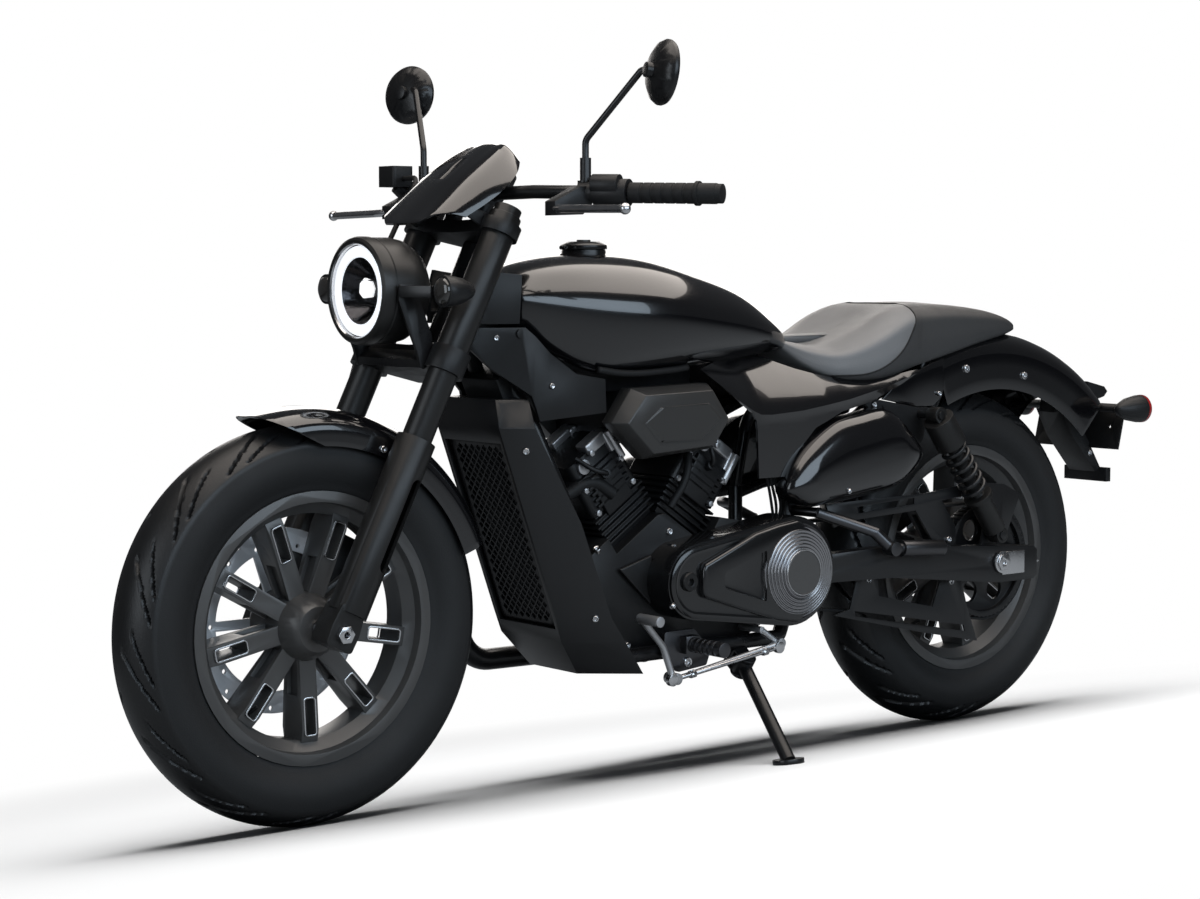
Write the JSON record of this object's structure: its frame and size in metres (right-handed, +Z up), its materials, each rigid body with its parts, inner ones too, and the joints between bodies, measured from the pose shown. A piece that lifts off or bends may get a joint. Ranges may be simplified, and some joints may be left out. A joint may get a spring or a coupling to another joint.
{
  "type": "motorcycle",
  "caption": "Low black cruiser motorcycle with V-twin engine, belt drive, cast wheels, small fly screen and stepped seat, leaning on its side stand",
  "frame": {"origin": "on the floor, under the middle of the box of the machine as it leans on its side stand", "axes": "+X forward, +Y to the rider's left, +Z up from the floor"},
  "size_m": [2.2129, 0.8724, 1.2816],
  "materials": {
    "tyre": "treaded rubber",
    "cast_wheel": "satin black cast aluminium",
    "disc": "ground steel",
    "black_metal": "satin black",
    "belt": "matte toothed rubber",
    "fork_paint": "satin dark grey",
    "satin_black_cast": "satin black cast aluminium",
    "satin_black_steel": "satin black paint",
    "grip_rubber": "ribbed black rubber",
    "black_plastic": "semi-gloss black plastic",
    "bright_metal": "polished",
    "lamp": "clear lens with a white ring light",
    "gloss_black": "deep gloss black paint",
    "core": "black finned core",
    "exhaust_black": "satin black steel",
    "seat_vinyl": "grained two-tone vinyl",
    "red_lens": "red lens"
  },
  "bodies": {
    "chassis": {"drive_belt": "belt", "frame": "satin_black_steel", "subframe": "satin_black_steel", "swing_arm": "satin_black_steel", "rear_caliper": "satin_black_cast", "rear_axle": "satin_black_steel", "shocks": "satin_black_steel", "shock_springs": "satin_black_steel", "crankcase": "satin_black_cast", "drive_pulley": "black_plastic", "cylinders": "black_plastic", "pulley_cover": "satin_black_cast", "air_covers": "black_plastic", "radiator_shroud": "black_plastic", "radiator": "core", "exhaust": "exhaust_black", "fuel_tank": "gloss_black", "neck_covers": "black_plastic", "side_covers": "gloss_black", "side_cases": "gloss_black", "seat": "seat_vinyl", "rear_fender": "gloss_black", "tail_lamp": "red_lens", "plate_carrier": "satin_black_steel", "rear_signals": "black_plastic", "belt_guards": "black_plastic", "stand_bracket": "satin_black_steel", "foot_pegs": "grip_rubber", "foot_controls": "satin_black_cast", "pillion_pegs": "satin_black_cast"},
    "front_wheel": {"front_tyre": "tyre", "front_wheel": "cast_wheel", "front_brake_disc": "disc"},
    "rear_wheel": {"rear_tyre": "tyre", "rear_wheel": "cast_wheel", "rear_brake_disc": "disc", "rear_pulley": "black_metal"},
    "steering": {"fork_tubes": "fork_paint", "fork_legs": "fork_paint", "fork_clamps": "satin_black_cast", "handlebar": "satin_black_steel", "handlebar_clamp": "satin_black_cast", "grips": "grip_rubber", "switchgear": "black_plastic", "levers": "bright_metal", "mirrors": "black_plastic", "headlight_shell": "black_plastic", "headlight_lens": "lamp", "headlight_bracket": "satin_black_steel", "front_signals": "black_plastic", "fly_screen": "gloss_black", "front_fender": "gloss_black", "front_caliper": "satin_black_cast", "front_axle": "satin_black_steel", "brake_hose": "grip_rubber"},
    "fuel_cap": {"fuel_cap": "satin_black_steel"},
    "side_stand": {"side_stand": "satin_black_steel"}
  },
  "joints": [
    {"name": "steering_turn", "type": "hinge", "parent": "chassis", "child": "steering", "pos_m": [0.45137, -0.01879, 0.86943], "axis": [-0.4462, 0.14, 0.8839], "range_deg": [-34, 34]},
    {"name": "front_wheel_spin", "type": "hinge", "parent": "steering", "child": "front_wheel", "pos_m": [0.7865, -0.10627, 0.31709], "axis": [0, 0.9877, -0.1564], "continuous": true},
    {"name": "rear_wheel_spin", "type": "hinge", "parent": "chassis", "child": "rear_wheel", "pos_m": [-0.6775, -0.1058, 0.32006], "axis": [0, 0.9877, -0.1564], "continuous": true},
    {"name": "fuel_cap_hinge", "type": "hinge", "parent": "chassis", "child": "fuel_cap", "pos_m": [0.2575, -0.01288, 0.90674], "axis": [0, 0.9877, -0.1564], "range_deg": [0, 90]},
    {"name": "side_stand_fold", "type": "hinge", "parent": "chassis", "child": "side_stand", "pos_m": [-0.0515, -0.01266, 0.1666], "axis": [0.0352, 0.694, 0.7191], "range_deg": [0, 100.48]}
  ]
}
